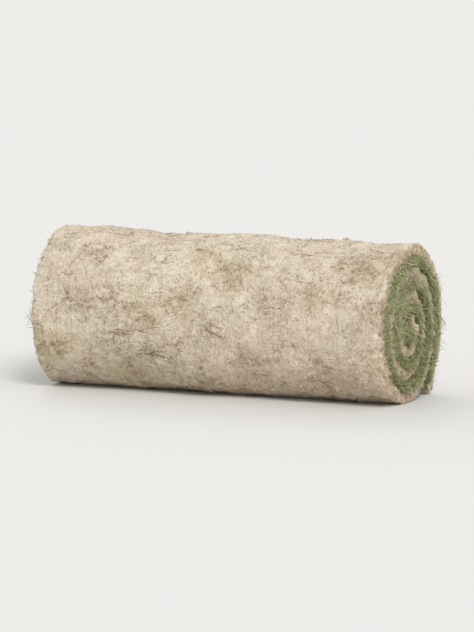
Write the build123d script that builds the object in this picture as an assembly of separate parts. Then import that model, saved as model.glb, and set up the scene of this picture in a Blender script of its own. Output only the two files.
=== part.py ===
# A roll of turf, lying on its side as it is delivered: one strip of lawn turf, wound
# grass side in, so that the soil side is outside. The roll is one solid. Its turns
# show on both ends, where the soil's cut edge stands a little proud of the grass
# between the turns, and through its middle runs the small hollow that the first turn
# leaves. The strip's outer end is a step in the outline. The roll rests on that end
# and on the turn beside it, as a roll comes to lie when it is let go on a level floor.
#
# Units are millimetres. X runs along the roll, across the strip. +Z is up. The origin
# is on the floor, under the middle of the roll's box. The strip's outer end touches
# the floor behind the middle, at +Y.
#
# Soil and roots give, so the outside isn't quite round: it swells and dips by a few
# millimetres in long waves, except beside the two lines that the roll rests on.

from build123d import *
import math
import os

# The strip, as turf is cut and sold
strip_width = 610.0
strip_length = 1640.0
soil_thickness = 20.0

# The strip as it is wound
grass_thickness = 16.0  # of the grass, pressed between two turns
core_gap = 4.0  # inner radius of the tightest bend, at the strip's inner end
band_depth = 12.0  # how far the separate grass reaches in from the strip's cut edges
soil_proud = 3.0  # how far the soil's cut edges stand out past the pressed grass

# The waves in the outside: the height and the length along the roll of the longest one,
# and for each its share of that height, how many run round the roll, how many fit in
# that length (negative where they slope the other way) and its phase in degrees
swelling_height = 1.5
swelling_length = 305.0
swellings = [
    (1.0, 2, 1.0, 20.0),
    (0.85, 3, -1.25, 120.0),
    (0.75, 5, 1.7, 230.0),
    (0.65, 6, -2.0, 300.0),
    (0.55, 7, 2.4, 75.0),
]
plain_margin = 8.0  # degrees left plain beside the lines that the roll rests on
plain_fade = 30.0  # degrees beside those, over which the waves die out
section_spacing = 32.0  # most from one section of the outside to the next
point_spacing = 15.0  # most degrees between the points of such a section

pitch = soil_thickness + grass_thickness  # from one turn to the next
half_turn = 180.0  # degrees of winding in one arc
full_turn = 2 * half_turn


def arc_radius(number):
    # Outer radius of a half turn: each is half a pitch larger than the one before.
    return core_gap + pitch + number * pitch / 2


def arc_centre(number):
    # The half turns are round about two centres by turns, half a pitch apart.
    return pitch / 4 if number % 2 else -pitch / 4


def arc_length(number):
    # Length of strip in a half turn, in the middle of its soil.
    return math.pi * (arc_radius(number) - soil_thickness / 2)


def winding_of_outer_end():
    # Degrees of winding that use up the whole strip.
    number = 0
    left = strip_length
    while left > arc_length(number):
        left -= arc_length(number)
        number += 1
    return half_turn * (number + left / arc_length(number))


def spiral_point(winding, depth):
    # The point of the strip at a winding, at a depth below the soil side.
    number = int(winding // half_turn)
    radius = arc_radius(number) - depth
    angle = math.radians(winding)
    return Vector(arc_centre(number) + radius * math.cos(angle), radius * math.sin(angle))


def spiral_arcs(start, end, depth):
    # The arcs of the strip between two windings, at a depth below the soil side.
    arcs = []
    while start < end:
        number = int(start // half_turn)
        stop = min(end, (number + 1) * half_turn)
        radius = arc_radius(number) - depth
        arcs.append(CenterArc((arc_centre(number), 0), radius, start, stop - start))
        start = stop
    return arcs


def band(start, end, near, far):
    # The strip's section between two depths, over a stretch of its winding.
    sides = spiral_arcs(start, end, near) + spiral_arcs(start, end, far)
    cuts = [Line(spiral_point(w, near), spiral_point(w, far)) for w in (start, end)]
    return make_face(sides + cuts)


def hollow_section():
    # What the first turn leaves open, beside the cut edge of the strip's inner end.
    cut = Line(spiral_point(full_turn, pitch), spiral_point(0, pitch))
    return make_face(spiral_arcs(0, full_turn, pitch) + [cut])


def back_from_outer_end(distance):
    # The winding at a distance before the outer end, in the middle of the grass.
    number = int(outer_end // half_turn)
    radius = arc_radius(number) - soil_thickness - grass_thickness / 2
    return outer_end - math.degrees(distance / radius)


def winding_on_floor():
    # Where the floor touches the roll, when it also touches the strip's outer end:
    # the tangent from that end to the turn below it.
    end_point = spiral_point(outer_end, 0)
    last = int(outer_end // half_turn)
    for number in (last - 2, last - 1):
        reach = end_point - Vector(arc_centre(number), 0)
        along = math.degrees(math.atan2(reach.Y, reach.X))
        along += math.degrees(math.acos(arc_radius(number) / reach.length))
        along += full_turn * round((number * half_turn + half_turn / 2 - along) / full_turn)
        if number * half_turn <= along <= (number + 1) * half_turn:
            return along
    return outer_end - full_turn


def swelling(winding, x):
    # How far the outside stands out at a winding and at a place along the roll.
    first_touch = outer_end - full_turn
    off_floor = winding - (first_touch + floor_winding) / 2
    off_floor = abs((off_floor + half_turn) % full_turn - half_turn)
    share = (off_floor - (floor_winding - first_touch) / 2 - plain_margin) / plain_fade
    share = min(max(share, 0), 1)
    total = 0
    for height, waves_round, waves_along, phase in swellings:
        angle = waves_round * winding + full_turn * waves_along * x / swelling_length + phase
        total += height * math.cos(math.radians(angle))
    return swelling_height * total * share * share * (3 - 2 * share)


def outside_section(x):
    # The outside of the last turn, at a place along the roll, and the step at its end.
    count = math.ceil(full_turn / point_spacing)
    windings = [outer_end - full_turn * number / count for number in range(count + 1)]
    outside = Spline([spiral_point(w, -swelling(w, x)) for w in windings])
    step = Line(spiral_point(outer_end, 0), spiral_point(outer_end, pitch))
    return make_face([outside, step])


def stand_up(section, x):
    # Turns a section as the roll lies, and puts it at its place along the roll.
    plane = Plane(origin=(x, 0, 0), x_dir=(0, -1, 0), z_dir=(-1, 0, 0))
    return plane * (Rot(0, 0, -90 - floor_winding) * section)


def plain_roll():
    # The roll without its hollow and grooves, as a smooth skin over its sections.
    count = math.ceil(strip_width / section_spacing)
    places = [strip_width * (number / count - 0.5) for number in range(count + 1)]
    return loft([stand_up(outside_section(x), x) for x in places])


def slab(section, start, end):
    # A section made solid between two distances from the roll's +X end.
    return extrude(stand_up(section, strip_width / 2 - start), amount=end - start)


def at_both_ends(section, start, end):
    near_end = slab(section, start, end)
    far_end = slab(section, strip_width - end, strip_width - start)
    return near_end + far_end


def make_soil_mat():
    roll = plain_roll() - slab(hollow_section(), 0, strip_width)
    roll -= at_both_ends(band(0, outer_end, soil_thickness, pitch), 0, band_depth)
    edge = band(back_from_outer_end(band_depth), outer_end, soil_thickness, pitch)
    return roll - slab(edge, 0, strip_width)


def make_grass():
    edge_start = back_from_outer_end(band_depth)
    edge_end = back_from_outer_end(soil_proud)
    turns = band(0, edge_end, soil_thickness, pitch)
    edge = band(edge_start, edge_end, soil_thickness, pitch)
    across = slab(edge, soil_proud, strip_width - soil_proud)
    return at_both_ends(turns, soil_proud, band_depth) + across


outer_end = winding_of_outer_end()
floor_winding = winding_on_floor()

soil_mat = make_soil_mat()
grass = make_grass()
box = soil_mat.bounding_box()
on_floor = Pos(0, -box.center().Y, -box.min.Z)

os.makedirs("parts", exist_ok=True)
export_step(on_floor * soil_mat, "parts/soil_mat.step")
export_step(on_floor * grass, "parts/grass.step")

print("outer end at", round(outer_end, 2), "degrees of winding")
print("floor at", round(floor_winding, 2), "degrees of winding")
print("soil mat", box.size)
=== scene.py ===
import bmesh
import bpy
import math
import numpy as np
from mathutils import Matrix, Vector


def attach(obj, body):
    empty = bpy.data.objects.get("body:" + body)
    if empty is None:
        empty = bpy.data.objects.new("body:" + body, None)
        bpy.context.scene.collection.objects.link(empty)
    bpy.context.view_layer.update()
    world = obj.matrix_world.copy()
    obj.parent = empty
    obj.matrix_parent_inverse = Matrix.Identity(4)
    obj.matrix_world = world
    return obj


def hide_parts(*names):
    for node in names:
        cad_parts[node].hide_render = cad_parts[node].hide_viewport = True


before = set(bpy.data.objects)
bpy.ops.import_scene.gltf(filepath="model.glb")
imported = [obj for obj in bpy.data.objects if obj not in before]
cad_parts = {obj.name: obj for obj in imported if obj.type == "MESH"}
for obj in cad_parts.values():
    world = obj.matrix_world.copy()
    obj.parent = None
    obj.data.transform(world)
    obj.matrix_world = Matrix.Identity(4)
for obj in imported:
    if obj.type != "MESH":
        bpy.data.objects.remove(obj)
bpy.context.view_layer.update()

# The strip of turf as the CAD model winds it, in metres and degrees.
strip = {
    "width": 0.610,
    "length": 1.640,
    "soil": 0.020,
    "grass": 0.016,
    "coreGap": 0.004,  # inner radius of the tightest bend
    "halfTurns": 14,  # more than the strip fills
    "floorWinding": 854.77,  # the winding that touches the floor
    "axisY": -0.00944,  # the middle of the winding
    "axisZ": 0.11845,
    "sag": 0.0008,  # how far the roll settles into its own crumbs
    "floorClear": 0.0003,  # nothing comes nearer to the floor
    "rounding": 0.0015,  # from the last column of its two sides out to its cut edges
}
# The long waves in the outside, as the CAD model has them.
swelling = {
    "height": 0.0015,
    "length": 0.305,
    "plainMargin": 8.0,  # degrees left plain beside the lines that the roll rests on
    "plainFade": 30.0,  # degrees beside those, over which the waves set in
    "waves": [  # share of the height, waves round and along, phase
        (1.0, 2, 1.0, 20.0),
        (0.85, 3, -1.25, 120.0),
        (0.75, 5, 1.7, 230.0),
        (0.65, 6, -2.0, 300.0),
        (0.55, 7, 2.4, 75.0),
    ],
    "inside": 0.35,  # share of it that the inner turns and the grass side follow
}
halfWidth = strip["width"] / 2
pitch = strip["soil"] + strip["grass"]


def windingAt(along):
    # Winding in degrees at a length along the strip. A half turn uses up pi times the radius
    # of the middle of its soil, so these lengths are added up and looked up.
    halfTurns = np.arange(strip["halfTurns"])
    lengths = np.pi * (strip["coreGap"] + pitch + halfTurns * pitch / 2 - strip["soil"] / 2)
    ends = np.concatenate([[0.0], np.cumsum(lengths)])
    return np.interp(along, ends, np.arange(len(ends)) * 180.0)


def onSpiral(along, depth):
    # Y and Z of a point of the strip, at a depth below its soil side. A half turn is round:
    # radius = gap + pitch + half turns * pitch / 2 - depth, about a centre a quarter pitch to
    # one side or the other. All is turned so that the floor winding faces down.
    winding = windingAt(along)
    halfTurn = np.floor(winding / 180)
    radius = strip["coreGap"] + pitch + halfTurn * pitch / 2 - depth
    centre = np.where(halfTurn % 2 == 1, pitch / 4, -pitch / 4)
    angle = np.radians(winding)
    right = centre + radius * np.cos(angle)
    up = radius * np.sin(angle)
    turn = math.radians(-90 - strip["floorWinding"])
    y = strip["axisY"] - (right * math.cos(turn) - up * math.sin(turn))
    z = strip["axisZ"] + (right * math.sin(turn) + up * math.cos(turn))
    return y, z - strip["sag"]


hashing = {
    "axes": (73856093, 19349663, 83492791),  # large odd numbers
    "seed": 374761393,
    "mixer": 1274126177,
    "gain": 1.7,  # brings the noise to about -1 to 1
}


def latticeNoise(x, y, z, seed):
    # Gradient noise: each lattice corner round a point has a hashed slope, and the eight
    # slopes times the offsets are blended with the weights 6t^5 - 15t^4 + 10t^3. Ten bits of
    # the hash give each part of a slope, from -1 to 1.
    cells = [np.floor(c).astype(np.int64) for c in (x, y, z)]
    offsets = [c - cell for c, cell in zip((x, y, z), cells)]
    blends = [t**3 * (t * (6 * t - 15) + 10) for t in offsets]
    total = 0.0
    for corner in range(8):
        steps = [corner >> axis & 1 for axis in range(3)]
        weight = 1.0
        mixed = seed * hashing["seed"]
        for axis, factor in enumerate(hashing["axes"]):
            weight = weight * (blends[axis] if steps[axis] else 1 - blends[axis])
            mixed = mixed ^ ((cells[axis] + steps[axis]) * factor)
        mixed = mixed & 0xFFFFFFFF
        mixed = ((mixed ^ (mixed >> 13)) * hashing["mixer"]) & 0xFFFFFFFF
        mixed = mixed ^ (mixed >> 16)
        slope = 0.0
        for axis in range(3):
            part = ((mixed >> (10 * axis)) & 0x3FF) / 511.5 - 1
            slope = slope + part * (offsets[axis] - steps[axis])
        total = total + weight * slope
    return total * hashing["gain"]


def layeredNoise(x, y, z, spec):
    # Noise of a height and a size in metres, plus the same at half the size and half the
    # height, and so on. spec is the height, the size, a seed and the number of layers.
    height, size, seed, layers = spec
    total = 0.0
    for layer in range(layers):
        scale = 2**layer / size
        total = total + latticeNoise(x * scale, y * scale, z * scale, seed + layer) / 2**layer
    return height * total


def smoothStep(low, high, value):
    # 3t^2 - 2t^3 of the share t of the way from low to high.
    t = np.clip((value - low) / (high - low), 0, 1)
    return t * t * (3 - 2 * t)


def flat(data):
    # All of an array's numbers in one row, in single precision.
    return np.ascontiguousarray(data, dtype=np.float32).reshape(-1)


def makeMesh(name, points, quads=(), triangles=(), values=None, maps=None):
    # One mesh from arrays: points (..., 3), quads (m, 4), triangles (k, 3), named values per
    # point, and named maps with a place for each corner of each face.
    corners = np.concatenate([np.reshape(quads, -1), np.reshape(triangles, -1)]).astype(np.int32)
    starts = [4 * np.arange(len(quads)), 4 * len(quads) + 3 * np.arange(len(triangles))]
    starts = np.concatenate(starts).astype(np.int32)
    mesh = bpy.data.meshes.new(name)
    mesh.vertices.add(points.size // 3)
    mesh.vertices.foreach_set("co", flat(points))
    mesh.loops.add(len(corners))
    mesh.loops.foreach_set("vertex_index", corners)
    mesh.polygons.add(len(starts))
    mesh.polygons.foreach_set("loop_start", starts)
    mesh.update(calc_edges=True)
    for label, data in (values or {}).items():
        mesh.attributes.new(label, "FLOAT", "POINT").data.foreach_set("value", flat(data))
    for label, places in (maps or {}).items():
        mesh.uv_layers.new(name=label).data.foreach_set("uv", flat(places))
    mesh.validate()
    mesh.shade_smooth()
    return mesh


def addObject(name, data):
    thing = bpy.data.objects.new(name, data)
    bpy.context.scene.collection.objects.link(thing)
    return thing


nodeOfSlot = {"soil": "soil_mat", "grass": "grass"}


def addPiece(mesh, material, slot):
    # A finished mesh becomes a piece at the origin, which rides on the one body and stands
    # in for the node that has its slot.
    piece = addObject(mesh.name, mesh)
    mesh.materials.append(material)
    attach(piece, "root")
    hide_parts(nodeOfSlot[slot])
    print(mesh.name, "triangles", len(mesh.loops) - 2 * len(mesh.polygons))


def outwardNormals(mesh):
    # Drops points that no face uses and turns every face of a closed mesh outwards.
    work = bmesh.new()
    work.from_mesh(mesh)
    loose = [v for v in work.verts if not v.link_faces]
    bmesh.ops.delete(work, geom=loose, context="VERTS")
    bmesh.ops.recalc_face_normals(work, faces=work.faces)
    work.to_mesh(mesh)
    work.free()
    mesh.shade_smooth()


def layerRing(spec, top, bottom):
    # The closed section of a layer of the strip: its outer side from one cut edge to the
    # other, down that edge, back along its inner side and up the first edge. Its points lie
    # close together near both cut edges and wider in the middle. "out" is -1 on the outer
    # side and 1 on the inner one, and "side" is 1 and -1 on the two cut edges.
    near = halfWidth - strip["rounding"] - np.arange(0, spec["fineZone"], spec["fineStep"])[::-1]
    middleCount = int(round(2 * near[0] / spec["middleStep"]))
    middle = np.linspace(-near[0], near[0], middleCount + 1)[1:-1]
    shrink = (halfWidth - spec["recess"]) / halfWidth
    across = np.concatenate([-near[::-1], middle, near]) * shrink
    rows = np.linspace(top, bottom, spec["edgeRows"] + 2)[1:-1]
    onSide, onEdge = np.ones(len(across)), np.ones(len(rows))

    def thereAndBack(sidePart, edgePart):
        half = np.concatenate([sidePart, edgePart])
        return np.concatenate([half, -half])

    return {
        "x": thereAndBack(across, onEdge * (across[-1] + strip["rounding"])),
        "depth": np.concatenate([onSide * top, rows, onSide * bottom, rows[::-1]]),
        "out": thereAndBack(-onSide, 0 * onEdge),
        "side": thereAndBack(0 * onSide, onEdge),
    }


def ringCounts(spec, ring):
    # How many points the ring has, how many on one side, and how many in an end zone of it.
    count = len(ring["x"])
    return count, count // 2 - spec["edgeRows"], int(round(spec["fineZone"] / spec["fineStep"]))


def carried(along, ring):
    # Length along the strip, place across it and depth, for the ring's points at every row.
    grid = np.ones((len(along), len(ring["x"])))
    return along[:, None] * grid, ring["x"] * grid, ring["depth"] * grid


def sweptFaces(spec, ring, rowCount, fullFrom):
    # Faces of a ring carried along rows. Rows before fullFrom have only the end zones, each
    # closed by a wall at its back. Both ends of the sweep are closed by pairing the ring's
    # outer half with its inner half.
    count, columns, zone = ringCounts(spec, ring)
    edgeRows = spec["edgeRows"]
    point = np.arange(count)
    partner = (2 * columns + edgeRows - 1 - point) % count
    left, right = zone - 1, columns - zone
    inZone = (point >= right) & (point < partner[right])
    inZone |= (point >= partner[left]) | (point < left)
    row = np.arange(rowCount - 1)[:, None]
    here = row * count + point
    ahead = row * count + (point + 1) % count
    grid = np.stack([here, ahead, ahead + count, here + count], axis=-1)
    faces = [grid[inZone | (row >= fullFrom)]]
    walls = np.arange(fullFrom) * count
    for edge in (left, right):
        a, b = walls + edge, walls + partner[edge]
        faces.append(np.stack([a, a + count, b + count, b], axis=-1))
    upper = np.concatenate([point[count - edgeRows // 2 :], point[: columns + edgeRows // 2 - 1]])
    upperAhead = (upper + 1) % count
    middle = (upper >= left) & (upper < right)
    everywhere = upper >= 0
    for atRow, chosen in ((0, ~middle), (fullFrom, middle), (rowCount - 1, everywhere)):
        a, b = upper[chosen], upperAhead[chosen]
        faces.append(np.stack([a, b, partner[b], partner[a]], axis=-1) + atRow * count)
    return np.concatenate(faces)


# Where the soil strip lies on its map for the baked colours, as shares of the map.
soilMap = {
    "sides": (0.0, 0.66, 0.71, 0.79, 0.84),  # bounds of the whole rows' sides and cut edges
    "zones": (0.845, 0.903),  # foot of the end zones at +X and at -X
    "zoneSteps": (0.0, 0.003, 0.016, 0.040, 0.053, 0.056),
    "rimColumns": 3,  # columns beside a rim that have more room than the rest of the zone
    "joining": (0.965, 0.03),  # foot and height of the joining faces
    "joiningWidth": 0.9,
}


def bakePlaces(spec, ring, rowCount, fullFrom, faces):
    # A flat map of the swept faces, with the strip's length to the right. The rows that show
    # their whole width lie below, each ring upwards by its own length, with the most room for
    # the soil side and then for the grass side. Above them lie the end zones of the other
    # rows, and at the top the faces that join one side of the strip to the other.
    count, columns, zone = ringCounts(spec, ring)
    edge = spec["edgeRows"] + 1
    row, point = faces // count, faces % count
    wraps = point.max(axis=1) - point.min(axis=1) == count - 1
    point = np.where(wraps[:, None] & (point == 0), count, point)
    joining = (point.max(axis=1) - point.min(axis=1) > 1)[:, None]
    whole = row.min(axis=1, keepdims=True) >= fullFrom
    right = np.where(whole, (row - fullFrom) / (rowCount - 1 - fullFrom), row / fullFrom)
    turn = np.array([0, columns - 1, columns - 1 + edge, 2 * columns - 2 + edge, count])
    stepX = np.diff(ring["x"], append=ring["x"][:1])
    stepDepth = np.diff(ring["depth"], append=ring["depth"][:1])
    length = np.concatenate([[0.0], np.cumsum(np.hypot(stepX, stepDepth))])
    up = np.interp(length[point], length[turn], soilMap["sides"])
    rim = soilMap["rimColumns"]
    reach = np.array([-zone, -rim, 0, edge, edge + rim, edge + zone])
    knots = np.concatenate([turn[1] + reach, turn[3] + reach]) - columns // 2
    zoneUp = np.add.outer(soilMap["zones"], soilMap["zoneSteps"]).reshape(-1)
    up = np.where(whole, up, np.interp((point - columns // 2) % count, knots, zoneUp))
    x, depth = ring["x"][point % count], ring["depth"][point % count]
    width = soilMap["joiningWidth"]
    aside = width / 2 * (x / halfWidth + 1) + (1 - width) * row / rowCount
    foot, height = soilMap["joining"]
    right = np.where(joining, aside, right)
    up = np.where(joining, foot + height * depth / strip["soil"], up)
    return np.stack([right, up], axis=-1)


# What puts the cut edges out of line: noises, and how far apart the two ends read them.
outOfLine = {
    "slip": (0.0035, 0.33, 11, 1),  # height, size, seed and layers, here and below
    "wave": (0.0018, 0.07, 12, 1),
    "waveApart": 0.371,
    "ragged": (0.0015, 0.018, 13, 2),
    "raggedApart": 0.077,
}


def stripShift(along, end):
    # How far the strip's edges lie out of line: a slow slip of the turns along the roll, the
    # same at both ends, and a ragged cut that differs from end to end.
    spec, zero = outOfLine, np.zeros_like(along)
    slip = layeredNoise(along, zero, zero, spec["slip"])
    wave = layeredNoise(along, zero + end * spec["waveApart"], zero, spec["wave"])
    ragged = layeredNoise(along, zero + end * spec["raggedApart"], zero, spec["ragged"])
    return slip + end * (wave + ragged)


def swell(along, x, depth):
    # The sum of the long waves, each a cosine round and along the roll. It is nothing beside
    # the lines that the roll rests on, whole at the outside and weaker further in.
    spec = swelling
    winding = windingAt(along)
    firstTouch = float(windingAt(strip["length"])) - 360
    middle = (firstTouch + strip["floorWinding"]) / 2
    plain = (strip["floorWinding"] - firstTouch) / 2 + spec["plainMargin"]
    offFloor = np.abs((winding - middle + 180) % 360 - 180)
    total = 0.0
    for share, wavesRound, wavesAlong, phase in spec["waves"]:
        angle = wavesRound * winding + 360 * wavesAlong * x / spec["length"] + phase
        total = total + share * np.cos(np.radians(angle))
    near = np.clip(1 - depth / strip["soil"], 0, 1) * (winding > firstTouch)
    share = spec["inside"] + (1 - spec["inside"]) * near
    return spec["height"] * total * smoothStep(plain, plain + spec["plainFade"], offFloor) * share


def placeStrip(along, x, depth):
    # A point of the strip, swollen with its neighbours and kept above the floor.
    y, z = onSpiral(along, depth - swell(along, x, depth))
    return np.stack([x, y, np.maximum(z, strip["floorClear"])], axis=-1)


soilMat = {
    "rowStep": 0.0030,
    "fineZone": 0.042,
    "fineStep": 0.0030,
    "middleStep": 0.0056,
    "edgeRows": 8,
    "recess": 0.0,
    "outerTurn": 0.905,  # length of strip that shows its whole width
    "closing": (0.15, 0.5, 0.85),  # shares of its thickness, at the strip's two ends
    "edgeZone": 0.030,  # how far in from a cut edge the soil is rougher and out of line
    "lumps": (0.0014, 0.040, 31, 2),
    "clods": (0.0013, 0.010, 35, 2),
    "crumbly": (1.0, 0.055, 61, 3),
    "crumblyFrom": (0.0, 0.5),
    "tears": 0.0018,
    "tearLines": (1.0, 0.028, 38, 3),
    "tearStretch": 0.22,
    "tearWidth": 0.09,
    "tearDepth": 0.004,
    "torn": (1.0, 0.075, 41, 2),
    "tornFrom": (0.05, 0.45),
    "chips": (0.0038, 0.00304),  # depth into the soil side and into the cut edge
    "chipped": (1.0, 0.022, 44, 3),
    "chippedFrom": (0.0, 0.55),
    "chipRim": (0.008, 0.009),  # how far chips reach across the soil side and down the cut edge
    "chipsApart": 0.09,
    "onGrassSide": 0.4,  # share of the relief there
    "onCut": 1.2,
    "fullRelief": 0.003,  # where the relief attribute is 1
}


def nearCut(x, zone):
    # From 0 to 1 over a zone up to a cut edge.
    return smoothStep(halfWidth - zone, halfWidth, np.abs(x))


def crumblyShare(along, x):
    # How crumbly the soil side is, from 0 to 1: where noise at 55 mm is above its mean.
    y, z = onSpiral(along, 0 * along)
    return smoothStep(*soilMat["crumblyFrom"], layeredNoise(x, y, z, soilMat["crumbly"]))


def soilRelief(along, x, depth):
    # How far the soil stands out from its plain shape: lumps (noise at 40 mm) and clods
    # (noise at 10 mm, twice as strong at the cut edges and where it is crumbly), less tears,
    # which are narrow valleys of noise that is stretched across the strip, in patches and on
    # the soil side only.
    spec = soilMat
    y, z = onSpiral(along, depth)
    rougher = 1 + np.maximum(nearCut(x, spec["edgeZone"]), crumblyShare(along, x))
    rough = layeredNoise(x, y, z, spec["lumps"]) + layeredNoise(x, y, z, spec["clods"]) * rougher
    lines = layeredNoise(along, x * spec["tearStretch"], 0 * x, spec["tearLines"])
    torn = smoothStep(*spec["tornFrom"], layeredNoise(x, y, z, spec["torn"]))
    torn = torn * smoothStep(spec["tearDepth"], 0.0, depth)
    return rough - spec["tears"] * smoothStep(spec["tearWidth"], 0.0, np.abs(lines)) * torn


def makeSoilMat(material):
    # The soil layer from the inner end of the strip to the outer end: a closed ring at every
    # 3 mm of the strip, moved outwards by soilRelief, less on the grass side and more on the
    # cut edges. The rim of the soil side is chipped where noise at 22 mm is high, and both
    # ends of the strip close down to the middle of the soil.
    spec = soilMat
    ring = layerRing(spec, 0.0, strip["soil"])
    closing = np.array(spec["closing"])
    along = np.arange(0, strip["length"], spec["rowStep"])
    fullFrom = int(np.searchsorted(along, strip["length"] - spec["outerTurn"])) + len(closing)
    outerEnd = np.full(len(closing) + 1, strip["length"])
    along, x, depth = carried(np.concatenate([0 * closing, along, outerEnd]), ring)
    squeeze = np.ones((len(along), 1))
    squeeze[: len(closing), 0] = closing
    squeeze[-len(closing) :, 0] = closing[::-1]
    middle = strip["soil"] / 2
    depth = middle + (depth - middle) * squeeze
    out, side, end = ring["out"], ring["side"], np.sign(x)
    share = depth / strip["soil"]
    relief = soilRelief(along, x, depth)
    chip = layeredNoise(along, end * spec["chipsApart"], 0 * x, spec["chipped"])
    chip = smoothStep(*spec["chippedFrom"], chip)
    (deepDown, deepIn), (reachIn, reachDown) = spec["chips"], spec["chipRim"]
    chipDown = deepDown * chip * nearCut(x, reachIn) * (out < 0)
    chipIn = deepIn * chip * smoothStep(reachDown, 0.0, depth) * side
    depth = depth + relief * out * np.where(out < 0, 1.0, spec["onGrassSide"]) + chipDown
    slip = stripShift(along, 0.0)
    raggedPart = (stripShift(along, end) - slip) * nearCut(x, spec["edgeZone"])
    x = x + slip + raggedPart + side * spec["onCut"] * relief - chipIn
    faces = sweptFaces(spec, ring, len(along), fullFrom)
    values = {
        "depthInMat": np.where(out > 0, 1.0, share),
        "cutFace": np.abs(side) + 0 * x,
        # the soil's tone turns this into painted shade in the strip's hollows; on crumbs it is
        # drawn at random
        "relief": relief / spec["fullRelief"],
        "crumbly": crumblyShare(along, x),
    }
    maps = {
        "stripUv": np.stack([along, x], axis=-1).reshape(-1, 2)[faces],
        "OFBake": bakePlaces(spec, ring, len(along), fullFrom, faces),
    }
    mesh = makeMesh("soil_strip", placeStrip(along, x, depth), faces, (), values, maps)
    outwardNormals(mesh)
    addPiece(mesh, material, "soil")


crumbs = {
    "soil_crumbs_side": {
        "count": 9000, "size": (0.0007, 0.0019), "divisions": 0, "rough": 0.42, "even": 0.10,
    },
    "soil_clods_side": {
        "count": 1500, "size": (0.0014, 0.0034), "divisions": 1, "rough": 0.42, "even": 0.03,
    },
    "soil_crumbs_ends": {
        "count": 1100, "size": (0.0005, 0.0026), "divisions": 1, "rough": 0.42,
        "depth": (0.002, 0.019),
    },
    "soil_pebbles": {
        "count": 26, "size": (0.0018, 0.0036), "divisions": 2, "rough": 0.07,
        "depth": (0.004, 0.016),
    },
    "stretch": (0.45, 1.15),
    "fromOuterEnd": (0.01, 0.87),  # the stretch of soil side that crumbs lie on
    "inset": 0.006,  # of the side's crumbs, from the cut edges
    "endClear": 0.005,  # of the crumbs on the cut edges, from the strip's ends
    "draws": 6,  # places drawn for each one kept
    "lift": 0.15,  # of the side's crumbs, as a share of their size
    "sunk": (0.4, 0.3),  # of the pebbles, on the side and on the cut edge
    "darkness": {"side": (-1.6, 0.7), "ends": (-1.2, 0.8)},
}


def manyMesh(name, points, quads, triangles, values):
    # One mesh of many like shapes, kept above the floor: points (shapes, points of one, 3),
    # the faces of one, and named values per shape (shapes, 1) or per point of one.
    shapes, each = points.shape[:2]
    points[..., 2] = np.maximum(points[..., 2], strip["floorClear"])
    first = (np.arange(shapes) * each)[:, None, None]
    quads = (np.reshape(quads, (-1, 4)) + first).reshape(-1, 4)
    triangles = (np.reshape(triangles, (-1, 3)) + first).reshape(-1, 3)
    values = {label: np.broadcast_to(data, (shapes, each)) for label, data in values.items()}
    return makeMesh(name, points, quads, triangles, values)


def lumpShape(divisions):
    # The points and triangles of a rough ball, with 8, 20 or 80 faces for 0, 1 or 2.
    work = bmesh.new()
    if divisions == 0:
        bmesh.ops.create_uvsphere(work, u_segments=4, v_segments=2, radius=1.0)
    else:
        bmesh.ops.create_icosphere(work, subdivisions=divisions, radius=1.0)
    points = np.array([v.co[:] for v in work.verts])
    triangles = np.array([[v.index for v in f.verts] for f in work.faces])
    work.free()
    return points, triangles


def addLumps(name, centres, sizes, spec, rng, material, values):
    # Many lumps in one piece: each is the ball, stretched by its own three sizes, with every
    # point moved in or out by its own share of the radius.
    ball, triangles = lumpShape(spec["divisions"])
    count = len(centres)
    stretch = rng.uniform(*crumbs["stretch"], (count, 1, 3))
    uneven = 1 + spec["rough"] * rng.uniform(-1, 1, (count, len(ball), 1))
    points = centres[:, None, :] + ball[None] * stretch * uneven * sizes[:, None, None]
    values = {label: data[:, None] for label, data in values.items()}
    addPiece(manyMesh(name, points, np.zeros((0, 4), int), triangles, values), material, "soil")


def placesOnSide(rng, count, even, lift):
    # Places on the outer turn's soil side, at their relief plus a lift, and how crumbly it
    # is there. Of many places drawn, a crumbly one is always kept, and any other as often as
    # even says.
    draws = crumbs["draws"] * count
    along = strip["length"] - rng.uniform(*crumbs["fromOuterEnd"], draws)
    x = rng.uniform(-1, 1, draws) * (halfWidth - crumbs["inset"])
    share = crumblyShare(along, x)
    kept = np.flatnonzero(rng.uniform(0, 1, draws) < even + (1 - even) * share)[:count]
    along, x, share = along[kept], x[kept], share[kept]
    depth = -soilRelief(along, x, np.zeros(count)) - lift
    return placeStrip(along, x + stripShift(along, 0.0), depth), share


def placesOnCut(rng, depth, end, lift):
    # Places on the soil's cut edge at one end, at their relief plus a lift.
    clear = crumbs["endClear"]
    along = rng.uniform(clear, strip["length"] - clear, len(depth))
    x = np.full(len(depth), end * halfWidth)
    out = soilMat["onCut"] * soilRelief(along, x, depth) + lift
    return placeStrip(along, x + stripShift(along, end) + end * out, depth)


def manySmall(rng, spread, count):
    # Many small sizes and few large ones: the cube of an even spread.
    low, high = spread
    return low + (high - low) * rng.uniform(0, 1, count) ** 3


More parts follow.
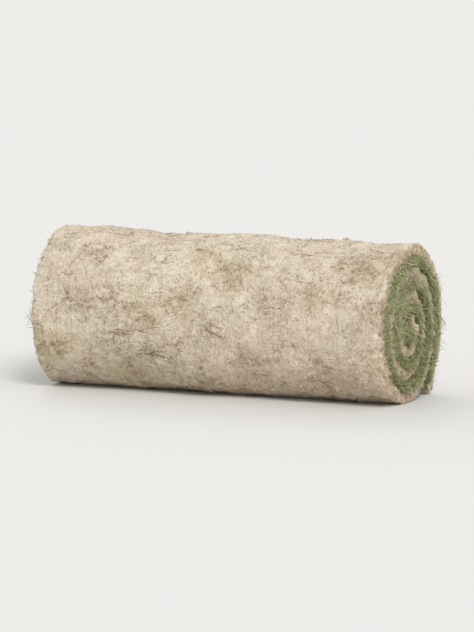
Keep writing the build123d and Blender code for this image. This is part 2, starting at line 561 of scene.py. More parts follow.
def makeCrumbs(material, stoneMaterial):
    # Crumbs sunk in the soil to about half their height, and a few pebbles. A crumb has the
    # same attributes as the soil that it lies on, with its relief drawn, so that crumbs
    # differ in darkness.
    rng = np.random.default_rng(7)
    darkness = crumbs["darkness"]
    for name in ("soil_crumbs_side", "soil_clods_side"):
        spec = crumbs[name]
        sizes = manySmall(rng, spec["size"], spec["count"])
        centres, share = placesOnSide(rng, spec["count"], spec["even"], sizes * crumbs["lift"])
        values = {"relief": rng.uniform(*darkness["side"], spec["count"]), "crumbly": share}
        addLumps(name, centres, sizes, spec, rng, material, values)
    spec = crumbs["soil_crumbs_ends"]
    places, sizes, depths = [], [], []
    for end in (1.0, -1.0):
        sizes.append(manySmall(rng, spec["size"], spec["count"]))
        depths.append(rng.uniform(*spec["depth"], spec["count"]))
        places.append(placesOnCut(rng, depths[-1], end, 0.0))
    values = {
        "relief": rng.uniform(*darkness["ends"], 2 * spec["count"]),
        "cutFace": np.ones(2 * spec["count"]),
        "depthInMat": np.concatenate(depths) / strip["soil"],
    }
    places, sizes = np.concatenate(places), np.concatenate(sizes)
    addLumps("soil_crumbs_ends", places, sizes, spec, rng, material, values)
    spec = crumbs["soil_pebbles"]
    half = spec["count"] // 2
    sizes = rng.uniform(*spec["size"], spec["count"])
    depth = rng.uniform(*spec["depth"], spec["count"] - half)
    sunkSide, sunkCut = crumbs["sunk"]
    onSide, share = placesOnSide(rng, half, 1.0, -sizes[:half] * sunkSide)
    onCut = placesOnCut(rng, depth, 1.0, -sizes[half:] * sunkCut)
    places = np.concatenate([onSide, onCut])
    addLumps("soil_pebbles", places, sizes, spec, rng, stoneMaterial, {})


def unit(vectors):
    # Vectors of length 1. The tiny number keeps one without a length from dividing by zero.
    return vectors / (np.linalg.norm(vectors, axis=-1, keepdims=True) + 1e-12)


def strandRings(path, side, size, section):
    # Three corners round each point of paths (strands, rows, 3): the point plus the size
    # times (a * side + b * up), for the corners (a, b) of a section.
    up = np.cross(unit(np.gradient(path, axis=1)), side)
    a, b = np.array(section).T[:, :, None]
    return path[:, :, None] + size[:, :, None, None] * (a * side[:, :, None] + b * up[:, :, None])


def strandFaces(rings, pointed):
    # Faces of one three-cornered strand: walls from ring to ring, a lid on the first ring,
    # and on the last one another lid or, where it is pointed, three faces to its tip.
    sides = [(corner, (corner + 1) % 3) for corner in range(3)]
    pairs = np.add.outer(3 * np.arange(rings - 1), sides).reshape(-1, 2)
    walls = [(a, b, b + 3, a + 3) for a, b in pairs]
    last = 3 * (rings - 1)
    tip = [(last + a, last + b, last + 3) for a, b in sides]
    lid = [(last, last + 1, last + 2)]
    return walls, [(0, 2, 1)] + (tip if pointed else lid)


roots = {
    "radius": (0.00011, 0.00048),
    "thinnest": 0.25,  # share of the radius at both ends
    "across": (0.31, 0.77, 0.55),  # a direction that few roots lie along
    "section": [(math.cos(math.radians(a)), math.sin(math.radians(a))) for a in (90, 210, 330)],
    "side": {
        "count": 3400, "rows": 5, "length": (0.010, 0.048), "bend": 0.5, "kink": 0.0012,
        "fromOuterEnd": (0.012, 0.86), "endClear": 0.002, "inset": (0.010, 0.004),
        "lift": (0.0002, 0.0006),
    },
    "ends": {
        "count": 900, "rows": 4, "length": (0.005, 0.017), "lean": 0.35, "kink": 0.0006,
        "endClear": 0.004, "from": 0.008, "least": 0.001, "stand": (0.0003, 0.0022),
    },
}


def addRoots(name, path, rng, material):
    # Closed threads along paths. With t from 0 to 1 along one, it is as thick as its radius
    # times (0.25 + the root of sin(pi t)).
    threads, rows = path.shape[:2]
    shade = rng.uniform(0, 1, threads)
    radius = manySmall(rng, roots["radius"], threads)
    t = np.linspace(0, 1, rows)
    thick = radius[:, None] * (roots["thinnest"] + np.sqrt(np.sin(np.pi * t)))
    side = unit(np.cross(unit(np.gradient(path, axis=1)), np.array(roots["across"])))
    rings = strandRings(path, side, thick, roots["section"])
    points = rings.reshape(threads, -1, 3)
    mesh = manyMesh(name, points, *strandFaces(rows, False), {"shade": shade[:, None]})
    addPiece(mesh, material, "soil")


def makeRoots(material):
    # Roots on the soil side wander over its relief: along = start + length * (cos(turn) t +
    # bend t^2), and across the strip likewise. Roots at the ends hang over the cut edge.
    rng = np.random.default_rng(17)
    spec = roots["side"]
    count, rows, kink = spec["count"], spec["rows"], spec["kink"]
    t = np.linspace(0, 1, rows)
    turn = rng.uniform(0, 2 * np.pi, count)[:, None]
    length = rng.uniform(*spec["length"], count)[:, None]
    bend = rng.normal(0, spec["bend"], (2, count, 1))
    kinks = kink * rng.normal(size=(2, count, rows))
    along = strip["length"] - rng.uniform(*spec["fromOuterEnd"], count)[:, None]
    along = along + length * (np.cos(turn) * t + bend[0] * t**2) + kinks[0]
    along = np.minimum(along, strip["length"] - spec["endClear"])
    inset, leastInset = spec["inset"]
    x = rng.uniform(-1, 1, count)[:, None] * (halfWidth - inset)
    x = x + length * (np.sin(turn) * t + bend[1] * t**2) + kinks[1]
    x = np.clip(x, -halfWidth + leastInset, halfWidth - leastInset)
    lift, unevenLift = spec["lift"]
    depth = -soilRelief(along, x, 0 * x) - (lift + unevenLift * rng.uniform(-1, 1, (count, rows)))
    path = placeStrip(along, x + stripShift(along, 0.0), depth)
    addRoots("roots_side", path, rng, material)
    spec = roots["ends"]
    count, rows, kink = spec["count"], spec["rows"], spec["kink"]
    low, high = spec["endClear"], strip["length"] - spec["endClear"]
    t = np.linspace(0, 1, rows)
    paths = []
    for end in (1.0, -1.0):
        along = rng.uniform(low, high, count)[:, None]
        length = rng.uniform(*spec["length"], count)[:, None]
        lean = rng.normal(0, spec["lean"], count)[:, None]
        along = along + lean * length * t + kink * rng.normal(size=(count, rows))
        depth = strip["soil"] - rng.uniform(0, spec["from"], count)[:, None] - length * t
        depth = np.clip(depth, spec["least"], strip["soil"])
        x = end * (halfWidth + 0 * depth)
        least, more = spec["stand"]
        stand = least + more * rng.uniform(0, 1, count)[:, None] * np.sin(np.pi * t)
        out = soilMat["onCut"] * soilRelief(along, x, depth) + stand
        paths.append(placeStrip(along, x + stripShift(along, end) + end * out, depth))
    addRoots("roots_ends", np.concatenate(paths), rng, material)


pressedGrass = {
    "rowStep": 0.0032,
    "fineZone": 0.033,
    "fineStep": 0.003,
    "middleStep": 0.03,
    "edgeRows": 6,
    "recess": 0.006,
    "shortBy": 0.004,  # how far it stops before the strip's outer end
    "outerEnd": 0.06,  # length of strip that has its whole width
    "soilGap": 0.0005,
    "overlap": 0.0012,  # how far it reaches into the next turn's soil
    "combed": (0.0022, 0.012, 51, 3),
    "rough": (0.0022, 0.009, 54, 2),
    "shade": 0.30,
    "shades": (0.25, 0.004, 57, 1),
    "tipShare": 0.6,  # how far along a blade its outer face looks
}


def makePressedGrass(material):
    # The matted foot of the grass between the turns: a closed ring from the soil of one turn
    # into the soil of the next, set back from the cut edges. Noise at 12 mm combs its face,
    # and noise at 9 mm roughens the side that lies against the next turn.
    spec = pressedGrass
    ring = layerRing(spec, strip["soil"] + spec["soilGap"], pitch + spec["overlap"])
    along = np.arange(0.0, strip["length"] - spec["shortBy"], spec["rowStep"])
    fullFrom = int(np.searchsorted(along, strip["length"] - spec["outerEnd"]))
    along, x, depth = carried(along, ring)
    y, z = onSpiral(along, depth)
    x = x + stripShift(along, np.sign(x)) + ring["side"] * layeredNoise(x, y, z, spec["combed"])
    depth = depth + layeredNoise(x, y, z, spec["rough"]) * (ring["out"] > 0)
    faces = sweptFaces(spec, ring, len(along), fullFrom)
    share = np.clip((depth - strip["soil"]) / strip["grass"], 0, 1)
    values = {
        "shade": spec["shade"] + layeredNoise(along, x, 2 * depth, spec["shades"]),
        "alongBlade": spec["tipShare"] * share,
    }
    maps = {"stripUv": np.stack([along, x + depth], axis=-1).reshape(-1, 2)[faces]}
    mesh = makeMesh("grass_matted", placeStrip(along, x, depth), faces, (), values, maps)
    outwardNormals(mesh)
    addPiece(mesh, material, "grass")


endGrass = {
    "matted": {
        "count": 8500, "rows": 4, "length": (0.016, 0.032), "width": (0.0012, 0.0023),
        "back": 0.012, "stand": (-0.003, 0.008, 1.4), "rise": (0.0015, 0.0168), "splay": 0.1,
        "droop": 9.0, "shade": (0.0, 0.95), "start": (-0.0010, 0.0005), "stray": 0.001,
    },
    "fringe": {
        "count": 1700, "rows": 5, "length": (0.026, 0.046), "width": (0.0010, 0.0020),
        "back": 0.014, "stand": (0.003, 0.021, 1.6), "rise": (0.0020, 0.0140), "splay": 0.5,
        "droop": 15.0, "shade": (0.1, 0.95), "start": (-0.0010, 0.0005), "stray": 0.010,
    },
    "thatch": {
        "count": 4200, "rows": 3, "length": (0.007, 0.015), "width": (0.0006, 0.0013),
        "back": 0.006, "stand": (-0.002, 0.0035, 1.2), "rise": (-0.0030, 0.0040), "splay": 0.3,
        "droop": 8.0, "shade": (0.78, 1.0), "start": (-0.0030, 0.0010), "stray": 0.006,
    },
    "core": {  # fills the hollow that the first turn leaves
        "count": 760, "rows": 4, "length": (0.016, 0.034), "width": (0.0012, 0.0022),
        "back": 0.050, "stand": (-0.012, 0.002, 1.0), "rise": (0.0140, 0.0230), "splay": 0.1,
        "droop": 5.0, "shade": (0.0, 0.9), "start": (-0.0005, 0.0040), "stray": 0.009,
        "reach": 0.115,
    },
}
# What all kinds of blade share.
blades = {
    "endClear": 0.004,
    "tuftSize": 0.024,
    "tuftsApart": 0.3,
    "tuftLength": 0.25,  # how much tufts differ in length, in how far they stand out and in lean
    "tuftStand": 0.15,
    "tuftLean": 1.1,
    "lean": (0.15, 0.55),  # mean and spread
    "along": (0.001, 0.010),  # from the strip's inner end, and past its outer end
    "backPower": 1.3,  # above 1, more blades start close to the cut edge
    "alongPower": 1.3,
    "rise": (1.3, 1.5),  # how early a blade has risen, and the angle that its sine goes to
    "droop": (0.5, 1.5),
    "intoSoil": 0.002,
    "floorClear": 0.0006,
    "taper": (0.92, 2.5),
    "section": [(-0.5, 0.0), (0.5, 0.0), (0.0, 0.28)],
}


def bladeMesh(name, path, width, wide, shade):
    # Closed blades with a folded, three-cornered section, along paths (blades, rows, 3). wide
    # is a rough direction of the width, which is 1 - 0.92 t^2.5 of its full size at a share t
    # of the length, and the last row is one point.
    tangent = unit(np.gradient(path, axis=1))
    wide = wide[:, None, :] - tangent * np.sum(wide[:, None, :] * tangent, axis=2, keepdims=True)
    t = np.linspace(0, 1, path.shape[1])
    amount, power = blades["taper"]
    taper = width[:, None] * (1 - amount * t**power)
    rings = strandRings(path, unit(wide), taper, blades["section"])[:, :-1]
    points = np.concatenate([rings.reshape(len(path), -1, 3), path[:, -1:]], axis=1)
    values = {"shade": shade[:, None], "alongBlade": np.append(np.repeat(t[:-1], 3), 1.0)}
    return manyMesh(name, points, *strandFaces(len(t) - 1, True), values)


def makeEndGrass(name, spec, end, seed, material):
    # Blades at one end of the roll. A blade starts on the grass side of the soil, close
    # behind the cut edge. With t from 0 to 1 along it, it rises towards the next turn as
    # sin(1.5 u), where u is 1.3 t but at most 1, and runs out past the cut edge in proportion
    # to t. What is left of its length by Pythagoras lies along the turn. Past the edge it
    # splays in proportion to how far it stands out, and droops with the square of that.
    # Noise along the strip makes tufts that lean alike.
    rng = np.random.default_rng(seed)
    count = spec["count"]
    t = np.linspace(0, 1, spec["rows"])

    def each(low, high):
        return rng.uniform(low, high, count)[:, None]

    start = each(0.0, spec.get("reach", strip["length"] - blades["endClear"]))
    apart = 0 * start + end * blades["tuftsApart"]
    tuft = layeredNoise(start, apart, 0 * start, (1.0, blades["tuftSize"], seed, 2))
    back = spec["back"] * each(0, 1) ** blades["backPower"]
    length = each(*spec["length"]) * (1 + blades["tuftLength"] * tuft)
    low, high, power = spec["stand"]
    stand = low + (high - low) * np.clip(each(0, 1) + blades["tuftStand"] * tuft, 0, 1) ** power
    rise = each(*spec["rise"])
    spare = np.sqrt(np.maximum(length**2 - (stand + back) ** 2 - rise**2, 0))
    lean = rng.normal(*blades["lean"], count)[:, None] + blades["tuftLean"] * tuft
    least, beyond = blades["along"]
    along = start + spare * np.clip(lean, -1, 1) * t ** blades["alongPower"]
    along = np.clip(along, least, strip["length"] + beyond)
    out = -back + (stand + back) * t
    past = np.maximum(out, 0)
    splay = rng.normal(0, spec["splay"], count)[:, None]
    base = strip["soil"] + each(*spec["start"])
    early, angle = blades["rise"]
    depth = base + rise * np.sin(angle * np.minimum(t * early, 1)) + splay * past
    nearest = strip["soil"] - blades["intoSoil"] - spec["stray"]
    depth = np.clip(depth, nearest, pitch + spec["stray"])
    x = end * (halfWidth + out) + stripShift(along, end)
    path = placeStrip(along, x, depth)
    path[:, :, 2] -= spec["droop"] * past**2 * each(*blades["droop"])
    path[:, :, 2] = np.maximum(path[:, :, 2], blades["floorClear"])
    width = rng.uniform(*spec["width"], count)
    shade = rng.uniform(*spec["shade"], count)
    wide = rng.normal(size=(count, 3))
    addPiece(bladeMesh(name, path, width, wide, shade), material, "grass")


def feed(tree, socket, value):
    # Sets a socket to a number or a colour, or links another node's output to it.
    if isinstance(value, (int, float)):
        socket.default_value = value
    elif isinstance(value, tuple):
        socket.default_value = (*value, 1)
    else:
        tree.links.new(value, socket)


def setInputs(tree, node, inputs):
    for label, value in inputs.items():
        feed(tree, node.inputs[label], value)


def newNode(tree, kind, settings=None, inputs=None):
    # A node with its settings, and with its inputs by name or number.
    node = tree.nodes.new("ShaderNode" + kind)
    for label, value in (settings or {}).items():
        setattr(node, label, value)
    setInputs(tree, node, inputs or {})
    return node


def newMaterial(name):
    # A material with its node tree and its shader.
    material = bpy.data.materials.new(name)
    material.use_nodes = True
    tree = material.node_tree
    return material, tree, tree.nodes["Principled BSDF"]


def objectPlace(tree):
    return newNode(tree, "TexCoord").outputs["Object"]


def attribute(tree, name):
    return newNode(tree, "Attribute", {"attribute_name": name}).outputs["Fac"]


def maths(tree, operation, *values):
    inputs = dict(enumerate(values))
    return newNode(tree, "Math", {"operation": operation}, inputs).outputs[0]


def ramp(tree, value, stops):
    # A colour ramp from (place, (r, g, b)) pairs, in linear light.
    node = newNode(tree, "ValToRGB", None, {"Fac": value})
    elements = node.color_ramp.elements
    elements.remove(elements[-1])
    elements[0].position = stops[0][0]
    elements[0].color = (*stops[0][1], 1)
    for place, colour in stops[1:]:
        elements.new(place).color = (*colour, 1)
    return node.outputs["Color"]


def noiseAt(tree, vector, scale, detail, roughness, output="Fac"):
    inputs = {"Vector": vector, "Scale": scale, "Detail": detail, "Roughness": roughness}
    return newNode(tree, "TexNoise", None, inputs).outputs[output]


def remap(tree, value, low, high, newLow=0.0, newHigh=1.0):
    # Smoothly from newLow to newHigh as the value goes from low to high.
    settings = {"interpolation_type": "SMOOTHSTEP"}
    inputs = {"Value": value, "From Min": low, "From Max": high}
    inputs.update({"To Min": newLow, "To Max": newHigh})
    return newNode(tree, "MapRange", settings, inputs).outputs["Result"]


def mixColour(tree, share, first, second, blend="MIX"):
    settings = {"data_type": "RGBA", "blend_type": blend}
    inputs = {"Factor": share, "A": first, "B": second}
    return newNode(tree, "Mix", settings, inputs).outputs["Result"]


def tint(tree, colour, value, spec, blend="MIX"):
    # Mixes in a colour by a value. spec is the colour, and the numbers that remap takes.
    other, numbers = spec
    return mixColour(tree, remap(tree, value, *numbers), colour, other, blend)


def addBump(tree, shader, height, distance, strength=1.0):
    inputs = {"Height": height, "Distance": distance, "Strength": strength}
    setInputs(tree, shader, {"Normal": newNode(tree, "Bump", None, inputs).outputs["Normal"]})


grainLook = {
    "bend": (0.9, 3, 0.7),  # noises: scale times the grains per metre, detail and roughness
    "fine": (0.55, 5, 0.75),
    "bendReach": 1.6,  # in grains
    "rounded": (0.15, 0.75),
    "height": (0.35, 0.65),  # parts of the grains and of the fine noise
    "tone": (0.4, 0.6),  # parts of the grain's own value and of the height, which paints shade into the hollows between grains
}


def crumbGroup():
    # Crumbly grain for anything of earth. Noise bends the space by about half a grain, so
    # that the grains (distance to the nearest point of a scatter) come out angular, and finer
    # noise roughens them. Puts out a height, a tone that holds painted shade in the hollows
    # between grains, and a random value per grain.
    look = grainLook
    tree = bpy.data.node_groups.new("crumbly_grain", "ShaderNodeTree")
    tree.interface.new_socket("Vector", in_out="INPUT", socket_type="NodeSocketVector")
    tree.interface.new_socket("Grains per metre", in_out="INPUT", socket_type="NodeSocketFloat")
    for name in ("Height", "ToneAndShade", "Which"):
        tree.interface.new_socket(name, in_out="OUTPUT", socket_type="NodeSocketFloat")
    start = tree.nodes.new("NodeGroupInput")
    place, perMetre = start.outputs["Vector"], start.outputs["Grains per metre"]

    def noise(scale, detail, roughness, output):
        scaled = maths(tree, "MULTIPLY", perMetre, scale)
        return noiseAt(tree, place, scaled, detail, roughness, output)

    reach = maths(tree, "DIVIDE", look["bendReach"], perMetre)
    inputs = {0: noise(*look["bend"], "Color"), "Scale": reach}
    bend = newNode(tree, "VectorMath", {"operation": "SCALE"}, inputs)
    bent = newNode(tree, "VectorMath", None, {0: place, 1: bend.outputs[0]})
    grains = newNode(tree, "TexVoronoi", None, {"Vector": bent.outputs[0], "Scale": perMetre})
    rounded = remap(tree, grains.outputs["Distance"], *look["rounded"], 1.0, 0.0)
    ofGrain, ofNoise = look["height"]
    fine = maths(tree, "MULTIPLY", noise(*look["fine"], "Fac"), ofNoise)
    height = maths(tree, "MULTIPLY_ADD", rounded, ofGrain, fine)
    split = newNode(tree, "SeparateColor", None, {"Color": grains.outputs["Color"]})
    # the height part of the tone is painted shade: darker where a grain lies low
    ofWhich, ofHeight = look["tone"]
    tone = maths(tree, "MULTIPLY", height, ofHeight)
    tone = maths(tree, "MULTIPLY_ADD", split.outputs[0], ofWhich, tone)
    outputs = {"Height": height, "ToneAndShade": tone, "Which": split.outputs[1]}
    setInputs(tree, tree.nodes.new("NodeGroupOutput"), outputs)
    return tree


def useGroup(tree, group, vector, perMetre):
    inputs = {"Vector": vector, "Grains per metre": perMetre}
    return newNode(tree, "Group", {"node_tree": group}, inputs).outputs


def stripCoordinates(tree, scales, bends):
    # The place along and across the strip, each times its scale and plus its bend.
    uv = newNode(tree, "UVMap", {"uv_map": "stripUv"})
    split = newNode(tree, "SeparateXYZ", None, {0: uv.outputs["UV"]})
    parts = {}
    for axis in range(2):
        parts[axis] = maths(tree, "MULTIPLY_ADD", split.outputs[axis], scales[axis], bends[axis])
    return newNode(tree, "CombineXYZ", None, parts).outputs[0]


soilLook = {
    "grains": 150,  # per metre
    "specks": 600,
    "noises": {  # scale, detail and roughness
        "patches": (9, 5, 0.6),
        "blotches": (42, 7, 0.7),
        "drift": (4.5, 3, 0.55),
        "pits": (330, 3, 0.55),
        "pitted": (35, 2, 0.5),
        "cracked": (14, 2, 0.5),
        "crackBend": (60, 4, 0.6),
        "marked": (7, 2, 0.5),
        "markBend": (12, 3, 0.5),
    },
    "crackScales": (36, 6),  # cells per metre along and across the strip
    "crackWidth": 0.026,
    "crackBend": 0.7,
    "crackedFrom": (0.56, 0.72),
    "marks": (1.0, 4, 0.6),
    "markScales": (7, 230),
    "markBend": 3.0,
    "pitsFrom": (0.30, 0.40),
    "pittedFrom": (0.42, 0.62),
    "grassFrom": 0.45,  # depth in the mat from which it darkens towards the grass
    "tone": 0.73,
    "tones": {  # what changes the tone: its middle and its strength
        "patches": (0.5, 0.55),
        "blotches": (0.5, 0.50),
        # painted shade: the strip darker in the hollows of its relief, crumbs darker at random
        "relief": (0.0, 0.13),
        "crumbly": (0.3, -0.10),
        # grains and specks carry painted shade in the hollows between grains
        "grains": (0.5, 0.32),
        "specks": (0.5, 0.30),
        "marks": (0.0, 0.55),
        # painted shade in the pits
        "pits": (0.0, -0.20),
        "cutFace": (0.0, -0.05),
        "nearGrass": (0.0, -0.16),
        # painted shade in the cracks
        "cracks": (0.0, -0.24),
    },
    "ramp": [
        (0.02, (0.095, 0.060, 0.035)),
        (0.25, (0.265, 0.185, 0.110)),
        (0.48, (0.490, 0.375, 0.250)),
        (0.68, (0.680, 0.565, 0.425)),
        (0.92, (0.830, 0.735, 0.610)),
    ],
    "redder": ((1.0, 0.93, 0.87), (0.53, 0.72)),  # colour, and where it sets in and is full
    "greener": ((0.96, 0.965, 0.86), (0.47, 0.28)),
    "humus": ((0.150, 0.095, 0.055), (0.86, 1.0, 0.0, 0.75)),  # and its least and most share
    "humusBlotches": (0.62, 0.40),
    "sand": ((0.80, 0.74, 0.64), (0.0, 0.12, 0.60, 0.0)),
    "stain": ((0.21, 0.19, 0.085), (0.72, 1.0, 0.0, 0.55)),
    "roughness": (0.2, 0.8, 0.82, 0.98),  # from and to these tones, and its least and most
    "specular": 0.18,
    "speckHeight": 0.45,
    "heights": {"cracks": -1.3, "pits": -0.5, "marks": 1.2},
    "bump": (0.0032, 0.9),  # distance and strength
}


def crackLines(tree, noise, offCut):
    # Cracks across the strip, from bending: the edges of cells six times as long as wide,
    # only where slow noise is high, and none on the cut faces. The soil's tone is darkened
    # along them as painted shade in the cracks.
    look = soilLook
    bend = maths(tree, "MULTIPLY", noise["crackBend"], look["crackBend"])
    where = stripCoordinates(tree, look["crackScales"], (bend, 0.0))
    inputs = {"Vector": where, "Scale": 1.0}
    cells = newNode(tree, "TexVoronoi", {"feature": "DISTANCE_TO_EDGE"}, inputs)
    lines = remap(tree, cells.outputs["Distance"], 0.0, look["crackWidth"], 1.0, 0.0)
    lines = maths(tree, "MULTIPLY", lines, remap(tree, noise["cracked"], *look["crackedFrom"]))
    return maths(tree, "MULTIPLY", lines, offCut)


def bladeMarks(tree, noise, offCut):
    # Faint drag marks of the turf cutter's blade: noise drawn out along the strip.
    bend = maths(tree, "MULTIPLY", noise["markBend"], soilLook["markBend"])
    where = stripCoordinates(tree, soilLook["markScales"], (0.0, bend))
    marks = maths(tree, "SUBTRACT", noiseAt(tree, where, *soilLook["marks"]), 0.5)
    return maths(tree, "MULTIPLY", maths(tree, "MULTIPLY", marks, noise["marked"]), offCut)


def makeSoilMaterial(grain):
    # Dusty tan soil. The tone is a sum of slow patches, relief, grains, blade marks, pits and
    # cracks, darker on the cut edges and towards the grass. The strip's relief, the grains, the
    # pits and the cracks add painted shade: darker where the surface lies low.
    look = soilLook
    material, tree, shader = newMaterial("dry_soil")
    place = objectPlace(tree)
    noise = {name: noiseAt(tree, place, *numbers) for name, numbers in look["noises"].items()}
    cutFace, inMat = attribute(tree, "cutFace"), attribute(tree, "depthInMat")
    offCut = maths(tree, "SUBTRACT", 1.0, cutFace)
    crumb = useGroup(tree, grain, place, look["grains"])
    speck = useGroup(tree, grain, place, look["specks"])
    # pits: hollows that the bump sinks and the tone darkens as painted shade
    pits = remap(tree, noise["pits"], *look["pitsFrom"], 1.0, 0.0)
    parts = {
        "patches": noise["patches"],
        "blotches": noise["blotches"],
        "relief": attribute(tree, "relief"),
        "crumbly": attribute(tree, "crumbly"),
        "grains": crumb["ToneAndShade"],
        "specks": speck["ToneAndShade"],
        "marks": bladeMarks(tree, noise, offCut),
        "pits": maths(tree, "MULTIPLY", pits, remap(tree, noise["pitted"], *look["pittedFrom"])),
        "cutFace": cutFace,
        "nearGrass": remap(tree, inMat, look["grassFrom"], 1.0),
        "cracks": crackLines(tree, noise, offCut),
    }
    tone = look["tone"]
    for name, (middle, strength) in look["tones"].items():
        shifted = maths(tree, "SUBTRACT", parts[name], middle)
        tone = maths(tree, "MULTIPLY_ADD", shifted, strength, tone)
    colour = ramp(tree, tone, look["ramp"])
    # slow drifts to redder and to greener soil
    colour = tint(tree, colour, noise["drift"], look["redder"], "MULTIPLY")
    colour = tint(tree, colour, noise["drift"], look["greener"], "MULTIPLY")
    # single grains of humus and of pale sand
    humus, where = look["humus"]
    inBlotches = remap(tree, noise["blotches"], *look["humusBlotches"])
    humusShare = maths(tree, "MULTIPLY", remap(tree, speck["Which"], *where), inBlotches)
    colour = mixColour(tree, humusShare, colour, humus)
    colour = tint(tree, colour, speck["Which"], look["sand"])
    # a thin green-brown stain where the grass begins
    colour = tint(tree, colour, inMat, look["stain"])
    roughness = remap(tree, tone, *look["roughness"])
    looks = {"Base Color": colour, "Roughness": roughness, "Specular IOR Level": look["specular"]}
    setInputs(tree, shader, looks)
    height = maths(tree, "MULTIPLY_ADD", speck["Height"], look["speckHeight"], crumb["Height"])
    for name, strength in look["heights"].items():
        height = maths(tree, "MULTIPLY_ADD", parts[name], strength, height)
    addBump(tree, shader, height, *look["bump"])
    return material


pebbleLook = {
    "grains": 900,  # per metre
    "which": (12, 1, 0.5),
    "tone": (0.35, 0.9),  # parts of the grain's tone, which holds painted shade between grains, and of slow noise
    "ramp": [(0.3, (0.16, 0.12, 0.085)), (0.62, (0.33, 0.27, 0.21)), (0.9, (0.50, 0.44, 0.37))],
    "roughness": 0.7,
    "bump": 0.0003,
}


def makePebbleMaterial(grain):
    look = pebbleLook
    material, tree, shader = newMaterial("pebble")
    place = objectPlace(tree)
    fine = useGroup(tree, grain, place, look["grains"])
    ofGrain, ofNoise = look["tone"]
    which = maths(tree, "MULTIPLY", noiseAt(tree, place, *look["which"]), ofNoise)
    tone = maths(tree, "MULTIPLY_ADD", fine["ToneAndShade"], ofGrain, which)
    colour = ramp(tree, tone, look["ramp"])
    setInputs(tree, shader, {"Base Color": colour, "Roughness": look["roughness"]})
    addBump(tree, shader, fine["Height"], look["bump"])
    return material


rootLook = {
    "streak": (400, 3, 0.6),
    "tone": (0.7, 0.3),  # parts of the root's own shade and of the streaks
    "ramp": [(0.1, (0.27, 0.18, 0.10)), (0.42, (0.56, 0.45, 0.30)), (0.8, (0.84, 0.77, 0.62))],
    "roughness": 0.8,
}


def makeRootMaterial():
    look = rootLook
    material, tree, shader = newMaterial("dry_root")
    ofShade, ofStreak = look["tone"]
    streak = maths(tree, "MULTIPLY", noiseAt(tree, objectPlace(tree), *look["streak"]), ofStreak)
    tone = maths(tree, "MULTIPLY_ADD", attribute(tree, "shade"), ofShade, streak)
    colour = ramp(tree, tone, look["ramp"])
    setInputs(tree, shader, {"Base Color": colour, "Roughness": look["roughness"]})
    return material


grassLook = {
    "streak": (260, 3, 0.6),
    "streakTone": 0.22,
    "pressedBend": (90, 2, 0.5),
    "pressedReach": 4.0,
    "pressedScales": (85, 750),  # along and across the strip
    "pressed": (1.0, 3, 0.65),
    "pressedTone": 0.9,
    "ramp": [
        (0.0, (0.220, 0.265, 0.095)),
        (0.35, (0.380, 0.430, 0.180)),
        (0.62, (0.530, 0.560, 0.290)),
        (0.78, (0.620, 0.610, 0.350)),
        (0.87, (0.620, 0.545, 0.320)),
        (1.0, (0.720, 0.620, 0.420)),
    ],
    "foot": ((0.42, 0.40, 0.19), (0.0, 0.40, 0.75, 0.0)),
    "tip": ((0.50, 0.47, 0.23), (0.75, 1.0, 0.0, 0.30)),
    "roughness": 0.55,
    "specular": 0.35,
    "bump": 0.0025,
}


def makeGrassMaterial():
    # Each blade has its own place on the ramp from deep green to straw. Its foot is paler
    # and yellower, and fine noise streaks it. Noise drawn out along the strip makes pressed
    # blades of the matted part, which alone has a place on the strip.
    look = grassLook
    material, tree, shader = newMaterial("turf_grass")
    place = objectPlace(tree)
    alongBlade = attribute(tree, "alongBlade")
    bend = maths(tree, "MULTIPLY", noiseAt(tree, place, *look["pressedBend"]), look["pressedReach"])
    where = stripCoordinates(tree, look["pressedScales"], (0.0, bend))
    pressed = noiseAt(tree, where, *look["pressed"])
    tone = attribute(tree, "shade")
    for noise, strength in (
        (noiseAt(tree, place, *look["streak"]), look["streakTone"]),
        (pressed, look["pressedTone"]),
    ):
        tone = maths(tree, "MULTIPLY_ADD", maths(tree, "SUBTRACT", noise, 0.5), strength, tone)
    colour = ramp(tree, tone, look["ramp"])
    for part in ("foot", "tip"):
        colour = tint(tree, colour, alongBlade, look[part])
    looks = {
        "Base Color": colour,
        "Roughness": look["roughness"],
        "Specular IOR Level": look["specular"],
    }
    setInputs(tree, shader, looks)
    addBump(tree, shader, pressed, look["bump"])
    return material


cameraSetup = {
    "azimuth": 23.0,
    "elevation": 8.0,
    "distance": 10.9,
    "fieldWidth": 0.77,
    "aim": (0.0, 0.0, 0.122),
    "imageSize": (474, 632),
    "sensor": 36.0,
    "seesTo": 200.0,
}


def faceFrom(thing, azimuth, elevation):
    # Turns a camera or a lamp so that it looks from an azimuth and an elevation in degrees
    # towards the middle. Gives the unit vector back: (sin a cos e, -cos a cos e, sin e).
    a, e = math.radians(azimuth), math.radians(elevation)
    back = Vector((math.sin(a) * math.cos(e), -math.cos(a) * math.cos(e), math.sin(e)))
    thing.rotation_mode = "QUATERNION"
    thing.rotation_quaternion = (-back).to_track_quat("-Z", "Y")
    return back


def makeCamera():
    spec = cameraSetup
    data = bpy.data.cameras.new("camera")
    camera = addObject("camera", data)
    back = faceFrom(camera, spec["azimuth"], spec["elevation"])
    camera.location = Vector(spec["aim"]) + back * spec["distance"]
    width, height = spec["imageSize"]
    data.sensor_width = spec["sensor"]
    data.lens = spec["sensor"] * spec["distance"] / (spec["fieldWidth"] * height / width)
    data.clip_end = spec["seesTo"]
    bpy.context.scene.camera = camera


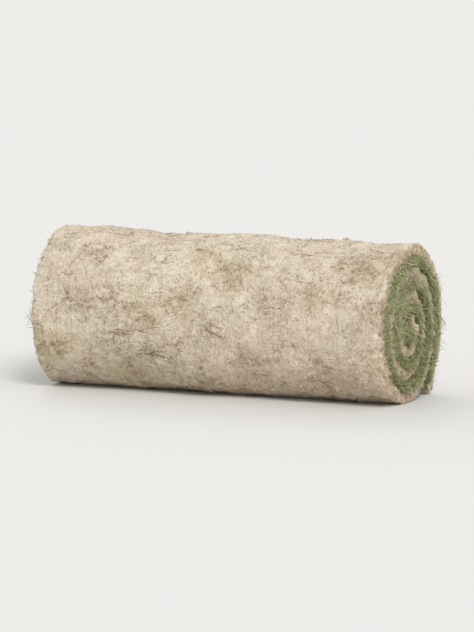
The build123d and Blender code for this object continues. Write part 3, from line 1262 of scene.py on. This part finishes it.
studio = {
    "floorSize": 40.0,
    "floor": {"Base Color": (0.70, 0.685, 0.66), "Roughness": 0.9, "Specular IOR Level": 0.1},
    "world": {"Color": (0.96, 0.98, 1.0), "Strength": 0.72},
    "backdrop": {"Color": (0.83, 0.82, 0.80), "Strength": 1.0},
    "lamps": [
        ("key", 1.8, (38, 44), 20),  # strength, azimuth and elevation it comes from, softness
        ("fill", 0.6, (215, 38), 40),
    ],
}


def makeFloor():
    corners = np.array([[-1, -1, 0], [1, -1, 0], [1, 1, 0], [-1, 1, 0]]) * studio["floorSize"]
    mesh = makeMesh("floor", corners, [[0, 1, 2, 3]])
    material, tree, shader = newMaterial("pale_floor")
    setInputs(tree, shader, studio["floor"])
    mesh.materials.append(material)
    addObject("floor", mesh)


def makeLights():
    # The world lights the object plainly, and what a camera, gloss or glass sees of it is
    # the backdrop.
    world = bpy.data.worlds.new("studio")
    bpy.context.scene.world = world
    world.use_nodes = True
    tree = world.node_tree
    tree.nodes.clear()
    light = newNode(tree, "Background", None, studio["world"])
    seen = newNode(tree, "Background", None, studio["backdrop"])
    rays = newNode(tree, "LightPath").outputs
    bySight = maths(tree, "MAXIMUM", rays["Is Camera Ray"], rays["Is Glossy Ray"])
    bySight = maths(tree, "MAXIMUM", bySight, rays["Is Transmission Ray"])
    mix = newNode(tree, "MixShader", None, {0: bySight, 1: light.outputs[0], 2: seen.outputs[0]})
    newNode(tree, "OutputWorld", None, {"Surface": mix.outputs[0]})
    for name, strength, direction, softness in studio["lamps"]:
        data = bpy.data.lights.new(name, "SUN")
        data.energy = strength
        data.angle = math.radians(softness)
        faceFrom(addObject(name, data), *direction)


makeCamera()
makeFloor()
makeLights()
print("stage ready")
grain = crumbGroup()
soilMaterial = makeSoilMaterial(grain)
makeSoilMat(soilMaterial)
makeCrumbs(soilMaterial, makePebbleMaterial(grain))
makeRoots(makeRootMaterial())
print("soil ready")
grassMaterial = makeGrassMaterial()
makePressedGrass(grassMaterial)
for end, label in ((1, "plus_x"), (-1, "minus_x")):
    for number, (kind, spec) in enumerate(endGrass.items()):
        name, seed = "grass_" + kind + "_" + label, 100 * number + 10 + end
        makeEndGrass(name, spec, end, seed, grassMaterial)
print("grass ready")

bpy.context.scene.view_settings.view_transform = "Standard"
